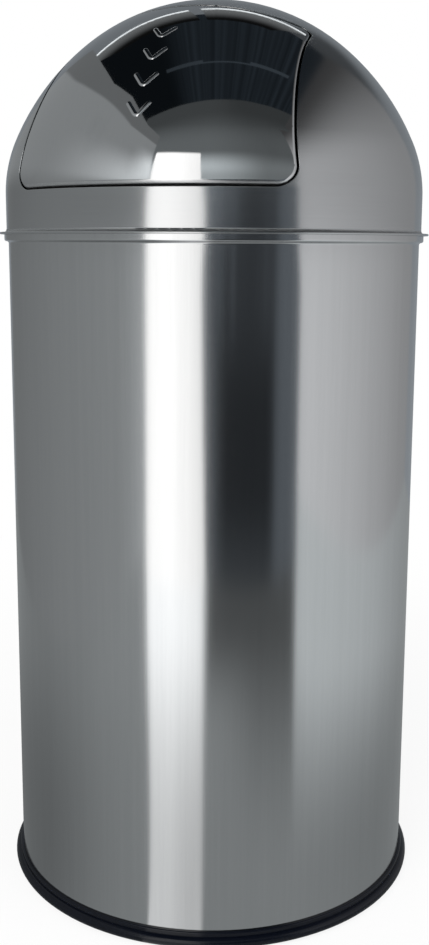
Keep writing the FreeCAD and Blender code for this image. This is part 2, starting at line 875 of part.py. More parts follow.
def bail_ear(name, side):
    """A riveted plate that stands inside the rim, with the eye for the bail."""
    radius = cell["bail_ear_radius"]
    plate = span(side, ear_inner, ear_outer)
    foot = bail_pivot - cell["bail_ear_drop"]
    bar = block(f"{name}_bar", plate, (-radius, radius), (foot, bail_pivot))
    eye = rod_along_x(f"{name}_eye", radius, plate, zero, bail_pivot)
    solid = fused(f"{name}_solid", [bar, eye])
    hole_radius = bail_radius + cell["bail_clearance"]
    holes = [rod_along_x(f"{name}_eye_hole", hole_radius, plate, zero, bail_pivot)]
    holes += rivet_holes(name, plate)
    return boolean("Cut", name, solid, fused(f"{name}_holes", holes))


def bail_ear_rivets():
    """Four rivets that hold the ears to the liner, as one group of separate solids."""
    head = cell["rivet_head_height"]
    rivets = []
    for name, side in SIDES.items():
        for number, height in enumerate(rivet_heights()):
            label = f"rivet_{name}_{number}"
            inside = span(side, ear_inner - head, ear_inner)
            outside = span(side, liner_radius, liner_radius + head)
            rivets.append(fused(label, [
                rod_along_x(f"{label}_shank", cell["rivet_radius"],
                            span(side, ear_inner, liner_radius), zero, height),
                rod_along_x(f"{label}_inside", cell["rivet_head_radius"], inside, zero, height),
                rod_along_x(f"{label}_outside", cell["rivet_head_radius"], outside, zero, height),
            ]))
    group = doc.addObject("Part::Compound", "bail_ear_rivets")
    group.Links = rivets
    return group


def bail_handle():
    """A bent wire that lies on the rim at the back and swings over to the front."""
    end = ear_outer + cell["bail_tail"]
    bend = cell["bail_bend"]
    shoulder = ear_inner - cell["bail_side_gap"]
    leg = shoulder - bend
    arch = bend + cell["bail_leg"]
    body = doc.addObject("PartDesign::Body", "bail_handle")
    path = sketch_in(body, "XY_Plane", "bail_path")
    put(path, "AttachmentOffset.Base.z", bail_pivot)
    draw(path, (end, zero), [
        (shoulder, zero),
        {"centre": (shoulder, bend), "end": (leg, bend), "clockwise": True, "tie": "y"},
        (leg, arch),
        {"centre": (zero, arch), "end": (-leg, arch), "tie": "y"},
        (-leg, bend),
        {"centre": (-shoulder, bend), "end": (-shoulder, zero), "clockwise": True, "tie": "x"},
        (-end, zero),
    ], closed=False)
    ring = sketch_in(body, "YZ_Plane", "bail_section")
    put(ring, "AttachmentOffset.Base.z", end)
    ring.addGeometry(Part.Circle(FreeCAD.Vector(0, float(bail_pivot), 0), FreeCAD.Vector(0, 0, 1), float(bail_radius)))
    pin_vertex(ring, 0, 3, zero, bail_pivot)
    index = ring.addConstraint(Sketcher.Constraint("Radius", 0, float(bail_radius)))
    put(ring, f"Constraints[{index}]", bail_radius)
    doc.recompute()
    pipe = body.newObject("PartDesign::AdditivePipe", "bail_pipe")
    pipe.Profile = ring
    pipe.Spine = (path, [f"Edge{number + 1}" for number in range(len(path.Shape.Edges))])
    return body


# The assembly


def build():
    nodes = [body_shell(), body_base(), base_ring(), lid_dome(), push_flap(), hinge_pin()]
    lid_filling = dome_filling("lid_filling", lid_back)
    lid_layer = dome_layer("lid_layer", lid_back, lid_back + cell["bracket_sheet"])
    flap_filling = dome_filling("flap_filling", flap_back)
    flap_layer = dome_layer("flap_layer", flap_back, flap_back + cell["ear_sheet"])
    stop_front = flap_depth + cell["weld_gap"]
    stop_layer = dome_layer("stop_layer", stop_front, stop_front + cell["stop_sheet"])
    for name, side in SIDES.items():
        nodes.append(hinge_bracket(f"hinge_bracket_{name}", side, lid_filling, lid_layer))
        nodes.append(flap_ear(f"flap_ear_{name}", side, flap_filling, flap_layer))
        nodes.append(pin_cap(f"pin_cap_{name}", side))
        nodes.append(torsion_spring(f"torsion_spring_{name}", side))
        nodes.append(flap_stop(f"flap_stop_{name}", side, stop_layer))
        nodes.append(bail_ear(f"bail_ear_{name}", side))
    nodes += [stop_bumpers(), liner_wall(), liner_base(), bail_ear_rivets(), bail_handle()]
    doc.recompute()
    return nodes


def check(nodes):
    """Stop if any object failed, or if any piece has no sound solid."""
    for item in doc.Objects:
        if "Invalid" in item.State or "Error" in item.State:
            raise RuntimeError(f"{item.Label} did not build: {item.State}")
    for node in nodes:
        shape = node.Shape
        if shape.isNull() or not shape.isValid() or not shape.Solids:
            raise RuntimeError(f"{node.Label} has no valid solid")


def main():
    nodes = build()
    check(nodes)
    os.makedirs("parts", exist_ok=True)
    for node in nodes:
        node.Shape.exportStep(os.path.join("parts", f"{node.Label}.step"))
        box = node.Shape.BoundBox
        print(f"{node.Label}: {len(node.Shape.Solids)} solid(s), {node.Shape.Volume:.1f} mm3, "
              f"z {box.ZMin:.1f} to {box.ZMax:.1f}")


main()
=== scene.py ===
import json
import math
from collections import namedtuple

import bmesh
import bpy
from mathutils import Matrix, Vector


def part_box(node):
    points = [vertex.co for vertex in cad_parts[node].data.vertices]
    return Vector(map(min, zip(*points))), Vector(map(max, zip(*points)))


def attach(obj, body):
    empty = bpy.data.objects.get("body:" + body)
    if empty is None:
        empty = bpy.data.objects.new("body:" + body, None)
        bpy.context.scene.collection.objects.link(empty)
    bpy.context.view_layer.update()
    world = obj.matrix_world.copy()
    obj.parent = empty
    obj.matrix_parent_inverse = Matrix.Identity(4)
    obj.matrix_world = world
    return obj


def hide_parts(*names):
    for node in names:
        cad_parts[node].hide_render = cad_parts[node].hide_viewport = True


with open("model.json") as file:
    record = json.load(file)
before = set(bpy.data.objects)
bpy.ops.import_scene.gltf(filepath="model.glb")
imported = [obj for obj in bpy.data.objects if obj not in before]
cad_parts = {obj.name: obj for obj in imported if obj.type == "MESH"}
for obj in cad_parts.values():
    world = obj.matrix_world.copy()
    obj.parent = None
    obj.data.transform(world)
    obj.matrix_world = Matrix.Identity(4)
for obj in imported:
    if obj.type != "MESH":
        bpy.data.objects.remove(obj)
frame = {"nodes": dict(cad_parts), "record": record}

scene = bpy.context.scene
bin_nodes = frame["nodes"]
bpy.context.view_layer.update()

# The photograph's frame and its camera
PICTURE_HEIGHT = 945
FOCAL_PIXELS = 1157.1
SENSOR = 36.0
CAMERA_AZIMUTH = 20.3
CAMERA_DISTANCE = 1.0176
CAMERA_HEIGHT = 0.5532
CAMERA_PITCH = 10.03
CAMERA_ROLL = 0.278
CAMERA_SHIFT = (0.0017, -0.0249)

# The dome's three arcs from the wall up: the centre's reach and level, the radius, and the lean where it ends
Arc = namedtuple("Arc", "reach level radius end")
DOME_LOWER = Arc(0.0665, 0.5924, 0.11, 24.0)
DOME_UPPER = Arc(-0.0202868, 0.55376, 0.205, 52.0)
DOME_CROWN = Arc(0.0, 0.579726, 0.1720488, 90.1)
LID_RADIUS = 0.1765
FLANGE_LEVEL = 0.5625
FLANGE_FILLET = 0.0026
BODY_RADIUS = 0.175

# How close points are merged, and the least angle of a sharp edge in degrees
SKIN_SEAM = 0.000002
SKIN_CREASE = 25.0
PATTERN_SEAM = 0.000001
PATTERN_CREASE = 30.0

# How far a spot may lie off the dome's arcs, and how well a side must face the way that the arc does
ARC_SLACK = 0.00003
ARC_FACING = 0.87

# The colour sockets of a Mix node, which share their names with others
MIX_SHARE = 0
MIX_FIRST = 6
MIX_SECOND = 7
MIX_RESULT = 2

camera_turn = math.radians(CAMERA_AZIMUTH)
camera_side = Vector((math.sin(camera_turn), -math.cos(camera_turn), 0.0))
camera_right = Vector((math.cos(camera_turn), math.sin(camera_turn), 0.0))


def bearing_axes(bearing):
    """The way out from the axis at a bearing, and the way to the right along a card that stands there."""
    turn = math.radians(bearing)
    out = camera_side * math.cos(turn) + camera_right * math.sin(turn)
    along = camera_right * math.cos(turn) - camera_side * math.sin(turn)
    return out, along


def upward(height):
    return Vector((0.0, 0.0, height))


def new_object(name, data):
    made = bpy.data.objects.new(name, data)
    scene.collection.objects.link(made)
    return made


class Value:
    """One output of a node. A sum on values adds its Math nodes to the same tree."""

    def __init__(self, tree, socket):
        self.tree = tree
        self.socket = socket

    def other(self, name):
        """Another output of the same node."""
        return Value(self.tree, self.socket.node.outputs[name])

    def math(self, operation, *terms):
        return self.tree.math(operation, self, *terms)

    def hypot(self, term):
        return (self * self + term * term).math("SQRT")

    def clipped(self):
        return self.math("MAXIMUM", 0.0).math("MINIMUM", 1.0)

    def __add__(self, term):
        return self.math("ADD", term)

    def __radd__(self, term):
        return self.math("ADD", term)

    def __sub__(self, term):
        return self.math("SUBTRACT", term)

    def __rsub__(self, term):
        return self.tree.math("SUBTRACT", term, self)

    def __mul__(self, term):
        return self.math("MULTIPLY", term)

    def __rmul__(self, term):
        return self.math("MULTIPLY", term)

    def __truediv__(self, term):
        return self.math("DIVIDE", term)

    def __rtruediv__(self, term):
        return self.tree.math("DIVIDE", term, self)

    def __abs__(self):
        return self.math("ABSOLUTE")


class Tree:
    """A node tree that is being built."""

    def __init__(self, tree):
        self.tree = tree
        self.tree.nodes.clear()

    def node(self, kind, settings=None, sockets=None, output=0):
        made = self.tree.nodes.new(kind)
        for name, setting in (settings or {}).items():
            setattr(made, name, setting)
        for name, value in (sockets or {}).items():
            if isinstance(value, Value):
                self.tree.links.new(value.socket, made.inputs[name])
            else:
                made.inputs[name].default_value = value
        return Value(self, made.outputs[output]) if len(made.outputs) else None

    def math(self, operation, *terms):
        return self.node("ShaderNodeMath", {"operation": operation}, dict(enumerate(terms)))

    def point(self, x, y, z):
        return self.node("ShaderNodeCombineXYZ", sockets={"X": x, "Y": y, "Z": z})

    def part(self, vector, axis):
        return self.node("ShaderNodeSeparateXYZ", sockets={"Vector": vector}, output=axis)

    def rise(self, value, start, end):
        """From 0 at the start to 1 at the end, which may be the lower of the two."""
        sockets = {"Value": value, "From Min": start, "From Max": end}
        return self.node("ShaderNodeMapRange", {"interpolation_type": "SMOOTHSTEP"}, sockets)

    def band(self, value, start, full, fade, end):
        """1 between full and fade, and 0 before the start and after the end."""
        return self.rise(value, start, full) * self.rise(value, end, fade)

    def blend(self, share, first, second):
        """A colour between two. A plain colour is given as its red, green and blue."""
        ends = [end if isinstance(end, Value) else (*end, 1.0) for end in (first, second)]
        sockets = {MIX_SHARE: share, MIX_FIRST: ends[0], MIX_SECOND: ends[1]}
        return self.node("ShaderNodeMix", {"data_type": "RGBA"}, sockets, output=MIX_RESULT)

    def seen(self):
        """1 where the camera, a reflection or a clear piece looks, and 0 for light that falls on the bin."""
        path = self.node("ShaderNodeLightPath", output="Is Camera Ray")
        return (path + path.other("Is Glossy Ray") + path.other("Is Transmission Ray")).math("MINIMUM", 1.0)


class Coat(Tree):
    """A material that reads the piece's own Object coordinates."""

    def __init__(self, name):
        self.material = bpy.data.materials.new(name)
        self.material.use_nodes = True
        super().__init__(self.material.node_tree)
        self.place = self.node("ShaderNodeTexCoord", output="Object")
        self.x = self.part(self.place, "X")
        self.y = self.x.other("Y")
        self.z = self.x.other("Z")

    def done(self, shader):
        self.node("ShaderNodeOutputMaterial", sockets={"Surface": shader})
        return self.material


class Finish(Coat):
    """A finish whose grain and wear come from noise."""

    def noise(self, scale, stretch=(1.0, 1.0, 1.0), detail=2.0, at=None):
        stretched = self.node("ShaderNodeMapping", sockets={"Vector": at or self.place, "Scale": stretch})
        sockets = {"Vector": stretched, "Scale": scale, "Detail": detail}
        return self.node("ShaderNodeTexNoise", sockets=sockets)

    def bump(self, height, depth):
        return self.node("ShaderNodeBump", sockets={"Strength": 1.0, "Distance": depth, "Height": height})

    def surface(self, sockets):
        return self.done(self.node("ShaderNodeBsdfPrincipled", sockets=sockets))


class Glow(Coat):
    """The light that a studio card gives, by height and by the way along the card. A level of 1 is white."""

    def __init__(self, name, bearing, tint=(0.955, 1.0, 1.02)):
        super().__init__(name)
        self.tint = tint
        self.height = self.z
        self.along = self.way(bearing_axes(bearing)[1])

    def way(self, axis):
        sockets = {0: self.place, 1: tuple(axis)}
        return self.node("ShaderNodeVectorMath", {"operation": "DOT_PRODUCT"}, sockets, output="Value")

    def plain(self, level, tint=None):
        return tuple(level * part for part in tint or self.tint)

    def grey(self, share, first, second, tint=None):
        return self.blend(share, self.plain(first, tint), self.plain(second, tint))

    def folds(self, scale, detail, shift=0.0):
        """Uneven upright folds along the card."""
        sockets = {"W": self.along + shift, "Scale": scale, "Detail": detail}
        return self.node("ShaderNodeTexNoise", {"noise_dimensions": "1D"}, sockets)

    def shine(self, colour):
        return self.done(self.node("ShaderNodeEmission", sockets={"Color": colour, "Strength": 1.0}))


# Finishes of the bin

def make_body_steel():
    finish = Finish("body_satin_steel")
    brush = finish.noise(1.0, (900.0, 900.0, 9.0))
    grain = finish.noise(1.0, (2600.0, 2600.0, 60.0), detail=1.0)
    bands = finish.noise(1.0, (130.0, 130.0, 1.6))
    cloud = finish.noise(7.0)
    seam = finish.rise(abs(finish.x), 0.0024, 0.0012) * finish.rise(finish.y, 0.16, 0.17)
    worn = 0.3 * brush + 0.2 * grain + 0.35 * bands + 0.15 * cloud
    tone = finish.blend(worn, (0.545, 0.553, 0.558), (0.665, 0.67, 0.673))
    tone = finish.blend(0.5 * seam, tone, (0.42, 0.42, 0.42))
    return finish.surface({
        "Base Color": tone,
        "Metallic": 1.0,
        "Roughness": 0.075 + 0.03 * brush + 0.05 * bands + 0.02 * cloud + 0.08 * seam,
        "Normal": finish.bump(brush + 0.5 * grain - 0.6 * seam, 0.000006),
    })


def make_lid_steel():
    finish = Finish("lid_spun_steel")
    reach = finish.x.hypot(finish.y)
    climb = (finish.z - DOME_CROWN.level).math("ARCTAN2", reach)
    ring = finish.point(finish.x / reach, finish.y / reach, climb)
    spun = finish.noise(1.0, (2.0, 2.0, 260.0), at=ring)
    cloud = finish.noise(9.0)
    top = FLANGE_LEVEL + FLANGE_FILLET
    fold = finish.band(finish.z, FLANGE_LEVEL, FLANGE_LEVEL + 0.0002, top - 0.4 * FLANGE_FILLET, top)
    tone = finish.blend(0.6 * spun + 0.4 * cloud, (0.53, 0.538, 0.545), (0.59, 0.596, 0.60))
    return finish.surface({
        "Base Color": tone,
        "Metallic": 1.0,
        "Roughness": 0.11 + 0.04 * spun + 0.03 * cloud + 0.4 * fold,
        "Normal": finish.bump(spun, 0.000008),
    })


def make_flap_steel():
    finish = Finish("flap_mirror_steel")
    swell = finish.noise(28.0, detail=1.0)
    smudge = finish.rise(finish.noise(34.0, detail=4.0), 0.52, 0.72)
    polish = finish.noise(1.0, (1800.0, 120.0, 120.0), detail=1.0)
    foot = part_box("push_flap")[0].z
    bent = finish.rise(finish.z, foot + 0.0046, foot + 0.0026)
    tone = finish.blend(0.5 * polish + 0.5 * smudge, (0.66, 0.665, 0.67), (0.6, 0.605, 0.61))
    return finish.surface({
        "Base Color": tone,
        "Metallic": 1.0,
        "Roughness": 0.035 + 0.03 * smudge + 0.015 * polish + 0.3 * bent,
        "Normal": finish.bump(swell, 0.00006),
    })


def make_ring_plastic():
    finish = Finish("ring_black_plastic")
    mould = finish.noise(1400.0, detail=3.0)
    cloud = finish.noise(18.0)
    scuff = finish.rise(finish.z, 0.004, 0.0005) * finish.rise(finish.noise(160.0, detail=4.0), 0.45, 0.7)
    tone = finish.blend(0.6 * cloud + 0.4 * scuff, (0.0018, 0.0026, 0.0056), (0.0036, 0.0046, 0.0085))
    return finish.surface({
        "Base Color": tone,
        "Specular IOR Level": 0.32,
        "Roughness": 0.13 + 0.06 * cloud + 0.25 * scuff,
        "Normal": finish.bump(mould, 0.00003),
    })


def make_liner_zinc():
    finish = Finish("liner_galvanised_zinc")
    warp = finish.noise(40.0)
    sockets = {"Vector": finish.place, "Scale": 85.0}
    leaf = finish.node("ShaderNodeTexVoronoi", sockets=sockets, output="Color")
    shade = finish.node("ShaderNodeSeparateColor", sockets={"Color": leaf}, output="Red")
    frost = finish.noise(420.0, detail=3.0)
    spangle = 0.7 * shade + 0.2 * warp + 0.1 * frost
    tone = finish.blend(spangle, (0.40, 0.42, 0.435), (0.60, 0.615, 0.625))
    return finish.surface({
        "Base Color": tone,
        "Metallic": 1.0,
        "Roughness": 0.3 + 0.16 * spangle + 0.06 * frost,
        "Normal": finish.bump(0.6 * shade + 0.4 * frost, 0.00002),
    })


def make_hinge_zinc():
    finish = Finish("hinge_bright_zinc")
    rolled = finish.noise(1.0, (900.0, 60.0, 900.0))
    cloud = finish.noise(60.0)
    tone = finish.blend(0.5 * rolled + 0.5 * cloud, (0.52, 0.525, 0.52), (0.66, 0.665, 0.67))
    return finish.surface({
        "Base Color": tone,
        "Metallic": 1.0,
        "Roughness": 0.26 + 0.1 * rolled + 0.06 * cloud,
        "Normal": finish.bump(rolled, 0.00001),
    })


# Painted shade: the flap's stops are made near black so that where they show through the flap's gap they read
# as the gap's shade
def make_stop_painted_shade():
    finish = Finish("stop_black_zinc")
    mottle = finish.noise(240.0, detail=3.0)
    rub = finish.rise(finish.noise(1.0, (1500.0, 200.0, 200.0)), 0.55, 0.8)
    # Painted shade: this near-black tone stands in for the shade inside the flap's gap, with random mottling
    # and rubbed wear on top
    tone = finish.blend(0.7 * mottle + 0.3 * rub, (0.012, 0.012, 0.014), (0.035, 0.036, 0.04))
    return finish.surface({
        "Base Color": tone,
        "Metallic": 1.0,
        "Roughness": 0.42 + 0.14 * mottle - 0.1 * rub,
        "Normal": finish.bump(mottle, 0.00001),
    })


def make_spring_wire():
    finish = Finish("spring_drawn_wire")
    drawn = finish.noise(1.0, (2400.0, 300.0, 300.0))
    oil = finish.noise(120.0)
    tone = finish.blend(0.5 * drawn + 0.5 * oil, (0.26, 0.26, 0.27), (0.42, 0.42, 0.43))
    return finish.surface({
        "Base Color": tone,
        "Metallic": 1.0,
        "Roughness": 0.22 + 0.1 * drawn + 0.08 * oil,
        "Normal": finish.bump(drawn, 0.00001),
    })


def make_bumper_rubber():
    finish = Finish("bumper_black_rubber")
    bloom = finish.noise(260.0, detail=3.0)
    pores = finish.noise(2600.0)
    tone = finish.blend(bloom, (0.016, 0.016, 0.017), (0.04, 0.04, 0.041))
    return finish.surface({
        "Base Color": tone,
        "Roughness": 0.68 + 0.16 * bloom,
        "Normal": finish.bump(pores, 0.00004),
    })


finishes = {
    "body_steel": make_body_steel(),
    "lid_steel": make_lid_steel(),
    "flap_steel": make_flap_steel(),
    "ring_plastic": make_ring_plastic(),
    "liner_zinc": make_liner_zinc(),
    "hinge_steel": make_hinge_zinc(),
    "stop_steel": make_stop_painted_shade(),
    "spring_steel": make_spring_wire(),
    "bumper_rubber": make_bumper_rubber(),
}
for subpart in frame["record"]["subparts"]:
    for material_slot in bin_nodes[subpart["node"]].material_slots:
        material_slot.material = finishes[subpart["material_slot"]]


# Pressed skins

def merged_shell(mesh, seam):
    shell = bmesh.new()
    shell.from_mesh(mesh)
    bmesh.ops.remove_doubles(shell, verts=shell.verts, dist=seam)
    return shell


def dome_lean(reach, level):
    """How far the lid's outer face leans back at a spot on it, or None off that face."""
    drop = FLANGE_LEVEL + FLANGE_FILLET - level
    if drop > 0.0:
        inward = LID_RADIUS + FLANGE_FILLET - reach
        gap = math.hypot(inward, drop) - FLANGE_FILLET
        return math.atan2(drop, inward) if abs(gap) < ARC_SLACK else None
    if level < DOME_LOWER.level:
        return 0.0 if abs(reach - LID_RADIUS) < ARC_SLACK else None
    for arc in (DOME_LOWER, DOME_UPPER, DOME_CROWN):
        lean = math.atan2(level - arc.level, reach - arc.reach)
        if math.degrees(lean) < arc.end:
            gap = math.hypot(reach - arc.reach, level - arc.level) - arc.radius
            return lean if abs(gap) < ARC_SLACK else None
    return None


def make_skin(name, node_name, slot_name, body_name):
    """A copy of a pressed sheet with merged seams and the dome's true normals, for unbroken reflections."""
    shell = merged_shell(bin_nodes[node_name].data, SKIN_SEAM)
    shell.verts.index_update()
    spots = [tuple(vertex.co) for vertex in shell.verts]
    sides = [[vertex.index for vertex in face.verts] for face in shell.faces]
    shell.free()
    mesh = bpy.data.meshes.new(name)
    mesh.from_pydata(spots, [], sides)
    mesh.shade_smooth()
    mesh.set_sharp_from_angle(angle=math.radians(SKIN_CREASE))
    normals = [corner.vector.copy() for corner in mesh.corner_normals]
    for side in mesh.polygons:
        for corner in side.loop_indices:
            spot = mesh.vertices[mesh.loops[corner].vertex_index].co
            lean = dome_lean(math.hypot(spot.x, spot.y), spot.z)
            if lean is not None:
                out = Vector((spot.x, spot.y, 0.0)).normalized() * math.cos(lean)
                out.z = math.sin(lean)
                if out.dot(side.normal) > ARC_FACING:
                    normals[corner] = out
    mesh.normals_split_custom_set(normals)
    mesh.materials.append(finishes[slot_name])
    skin = new_object(name, mesh)
    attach(skin, body_name)
    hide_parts(node_name)


make_skin("lid_skin", "lid_dome", "lid_steel", "lid")
make_skin("flap_skin", "push_flap", "flap_steel", "flap")


# The turned body and the repeated pieces, grown from trees of geometry nodes

class Pattern(Tree):
    """A tree of geometry nodes with named inputs, which ends as one plain mesh."""

    def __init__(self, name, sizes):
        super().__init__(bpy.data.node_groups.new(name, "GeometryNodeTree"))
        self.name = name
        self.sizes = sizes
        self.sockets = {}
        interface = self.tree.interface
        for size_name, size in sizes.items():
            kind = "NodeSocketInt" if isinstance(size, int) else "NodeSocketFloat"
            self.sockets[size_name] = interface.new_socket(size_name, in_out="INPUT", socket_type=kind)
        interface.new_socket("Mesh", in_out="OUTPUT", socket_type="NodeSocketGeometry")
        self.given = self.node("NodeGroupInput")
        self.spot = self.node("GeometryNodeInputPosition")

    def size(self, name):
        return self.given.other(name)

    def moved(self, shape, position):
        return self.node("GeometryNodeSetPosition", sockets={"Geometry": shape, "Position": position})

    def scaled(self, shape, x, y, z):
        return self.node("GeometryNodeTransform", sockets={"Geometry": shape, "Scale": self.point(x, y, z)})

    def repeated(self, points, shape):
        stamps = self.node("GeometryNodeInstanceOnPoints", sockets={"Points": points, "Instance": shape})
        return self.node("GeometryNodeRealizeInstances", sockets={"Geometry": stamps})

    def piece(self, shape, material):
        shape = self.node("GeometryNodeSetShadeSmooth", sockets={"Geometry": shape})
        shape = self.node("GeometryNodeRealizeInstances", sockets={"Geometry": shape})
        shape = self.node("GeometryNodeSetMaterial", sockets={"Geometry": shape, "Material": material})
        self.node("NodeGroupOutput", sockets={"Mesh": shape})
        piece = new_object(self.name, bpy.data.meshes.new(self.name))
        modifier = piece.modifiers.new(self.name, "NODES")
        modifier.node_group = self.tree
        for size_name, size in self.sizes.items():
            modifier[self.sockets[size_name].identifier] = size
        evaluated = piece.evaluated_get(bpy.context.evaluated_depsgraph_get())
        mesh = bpy.data.meshes.new_from_object(evaluated)
        piece.modifiers.remove(modifier)
        piece.data = mesh
        shell = merged_shell(mesh, PATTERN_SEAM)
        bmesh.ops.recalc_face_normals(shell, faces=shell.faces)
        shell.to_mesh(mesh)
        shell.free()
        mesh.set_sharp_from_angle(angle=math.radians(PATTERN_CREASE))
        return piece


def make_body_tube():
    """The rolled tube, turned from a profile that climbs the wall, steps out at the collar and comes back."""
    pattern = Pattern("body_tube", {
        "Segments": 288,
        "Radius": BODY_RADIUS,
        "Sheet": 0.001,
        "Foot Level": 0.0025,
        "Rim Level": 0.5605,
        "Collar Step": 0.0035,
        "Collar Height": 0.0073,
        "Collar Slope": 0.0036,
    })
    size = pattern.size
    foot = size("Foot Level")
    step = size("Collar Step")
    slope = size("Collar Slope")

    # The profile's last rows in the wall, the slope and the collar's face, with a short row at either end of
    # the slope that keeps its bends crisp
    wall_end = 4
    slope_start = 5
    slope_end = 29
    face_start = 30
    last_row = 33
    short_row = 0.0003
    loop_rows = 2 * (last_row + 1)

    sheet = pattern.node("GeometryNodeMeshGrid", sockets={
        "Size X": 1.0,
        "Size Y": 1.0,
        "Vertices X": size("Segments") + 1,
        "Vertices Y": loop_rows + 1,
    })
    turn = pattern.part(pattern.spot, "X") * math.tau
    row = ((pattern.part(pattern.spot, "Y") + 0.5) * loop_rows).math("ROUND").math("MODULO", loop_rows)
    inside = row.math("GREATER_THAN", last_row + 0.5)
    row = row + inside * (loop_rows - 1 - 2 * row)

    collar_low = size("Rim Level") - size("Collar Height")
    level = foot
    for first, last, climb in (
        (0, wall_end, collar_low - short_row - foot),
        (wall_end, slope_start, short_row),
        (slope_start, slope_end, slope),
        (slope_end, face_start, short_row),
        (face_start, last_row, size("Collar Height") - slope - short_row),
    ):
        level = level + climb * ((row - first) / (last - first)).clipped()

    # The slope is two equal arcs, one hollow and one full
    bend = (step * step + slope * slope) / (4 * step)
    share = ((level - collar_low) / slope).clipped()
    upper = share.math("GREATER_THAN", 0.5)
    run = slope * (share + upper * (1 - 2 * share))
    hollow = bend - (bend * bend - run * run).math("SQRT")
    step_out = hollow + upper * (step - 2 * hollow)
    reach = size("Radius") + step_out - inside * size("Sheet")
    turned = pattern.point(reach * turn.math("SINE"), reach * turn.math("COSINE"), level)
    return pattern.piece(pattern.moved(sheet, turned), finishes["body_steel"])


def make_push_marks():
    """Raised arrow marks down the middle of the flap, drawn flat and then bent onto the dome's arc."""
    pattern = Pattern("push_marks", {
        "Marks": 4,
        "Pitch": 0.0262,
        "Lowest": 0.0935,
        "Width": 0.0185,
        "Drop": 0.0125,
        "Bead Width": 0.0042,
        "Bead Rise": 0.0013,
        "Sunk": 0.0004,
        "Arc Forward": DOME_UPPER.reach,
        "Arc Level": DOME_UPPER.level,
        "Arc Radius": DOME_UPPER.radius,
        "Spacing": 0.0004,
        "Rounded End": 0.08,
    })
    size = pattern.size
    column = pattern.node("GeometryNodeMeshLine", sockets={
        "Count": size("Marks"),
        "Start Location": pattern.point(0.0, size("Lowest"), 0.0),
        "Offset": pattern.point(0.0, size("Pitch"), 0.0),
    })
    arms = pattern.node("GeometryNodeMeshLine", sockets={"Count": 3})
    step = pattern.node("GeometryNodeInputIndex") - 1
    arms = pattern.moved(arms, pattern.point(step * size("Width") / 2, abs(step) * size("Drop"), 0.0))
    arrow = pattern.node("GeometryNodeMeshToCurve", sockets={"Mesh": arms})
    arrow = pattern.node("GeometryNodeFilletCurve", {"mode": "POLY"}, {
        "Curve": arrow,
        "Count": 6,
        "Radius": size("Bead Width") / 2,
    })
    arrow = pattern.node("GeometryNodeResampleCurve", {"mode": "LENGTH"}, {
        "Curve": arrow,
        "Length": size("Spacing"),
    })
    arrow = pattern.node("GeometryNodeSetCurveNormal", {"mode": "Z_UP"}, {"Curve": arrow})
    arrows = pattern.repeated(column, arrow)
    bead = pattern.node("GeometryNodeCurvePrimitiveCircle", sockets={"Resolution": 20, "Radius": 1.0})
    bead = pattern.scaled(bead, size("Bead Width") / 2, size("Bead Rise"), 1.0)
    along = pattern.node("GeometryNodeSplineParameter", output="Factor")
    to_end = (0.5 - abs(along - 0.5)) / size("Rounded End")
    least = 0.0004
    rounding = (to_end * (2 - to_end)).math("MAXIMUM", least).math("SQRT")
    near_end = to_end.math("LESS_THAN", 1.0)
    strips = pattern.node("GeometryNodeCurveToMesh", sockets={
        "Curve": arrows,
        "Profile Curve": bead,
        "Scale": 1 - near_end * (1 - rounding),
        "Fill Caps": True,
    })
    across = pattern.part(pattern.spot, "X")
    climb = pattern.part(pattern.spot, "Y") / size("Arc Radius")
    height = pattern.part(pattern.spot, "Z").math("MAXIMUM", size("Sunk") / -2)
    reach = size("Arc Radius") + height - size("Sunk")
    out = size("Arc Forward") + reach * climb.math("COSINE")
    turn = across / out
    bent = pattern.point(
        out * turn.math("SINE"),
        out * turn.math("COSINE") * -1,
        size("Arc Level") + reach * climb.math("SINE"),
    )
    return pattern.piece(pattern.moved(strips, bent), finishes["flap_steel"])


def make_rivet_heads():
    """Domed heads on both ends of the four rivets that hold the bail's ears to the liner."""
    low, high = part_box("bail_ear_rivets")
    head_height = 0.0012
    pattern = Pattern("rivet_heads", {
        "Head Radius": (high.y - low.y) / 2,
        "Head Height": head_height,
        "Outer Reach": high.x - head_height,
        "Inner Reach": 0.15985,
        "Lower Level": 0.5131,
        "Pitch": 0.014,
    })
    size = pattern.size
    head_count = 8
    corners = pattern.node("GeometryNodeMeshLine", sockets={"Count": head_count})
    index = pattern.node("GeometryNodeInputIndex")
    upper = index.math("MODULO", 2.0)
    inner = (index / 2).math("FLOOR").math("MODULO", 2.0)
    side = (index / 4).math("FLOOR") * 2 - 1
    reach = size("Outer Reach") + inner * (size("Inner Reach") - size("Outer Reach"))
    level = size("Lower Level") + upper * size("Pitch")
    corners = pattern.moved(corners, pattern.point(side * reach, 0.0, level))
    head = pattern.node("GeometryNodeMeshUVSphere", sockets={"Segments": 32, "Rings": 16, "Radius": 1.0})
    head = pattern.scaled(head, size("Head Height"), size("Head Radius"), size("Head Radius"))
    return pattern.piece(pattern.repeated(corners, head), finishes["liner_zinc"])


body_tube = make_body_tube()
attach(body_tube, "body")
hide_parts("body_shell")
push_marks = make_push_marks()
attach(push_marks, "flap")
rivet_heads = make_rivet_heads()
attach(rivet_heads, "liner")
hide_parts("bail_ear_rivets")


# Studio: cards that show only in the steel, a pale floor, and soft light

def stage_card(name, corners, material):
    """A glowing card that shows in reflections alone."""
    mesh = bpy.data.meshes.new(name)
    mesh.from_pydata([tuple(corner) for corner in corners], [], [range(len(corners))])
    mesh.materials.append(material)
    card = new_object(name, mesh)
    card.visible_camera = False
    card.visible_diffuse = False
    card.visible_shadow = False


def wall_card(name, bearing, distance, rows, material):
    """An upright card. Each row gives a height and the bearings of the card's left and right edge there."""
    out, along = bearing_axes(bearing)

    def corner(height, edge):
        offset = distance * math.tan(math.radians(edge - bearing))
        return out * distance + along * offset + upward(height)

    lefts = [corner(height, left) for height, left, right in rows]
    rights = [corner(height, right) for height, left, right in rows]
    stage_card(name, rights + lefts[::-1], material)


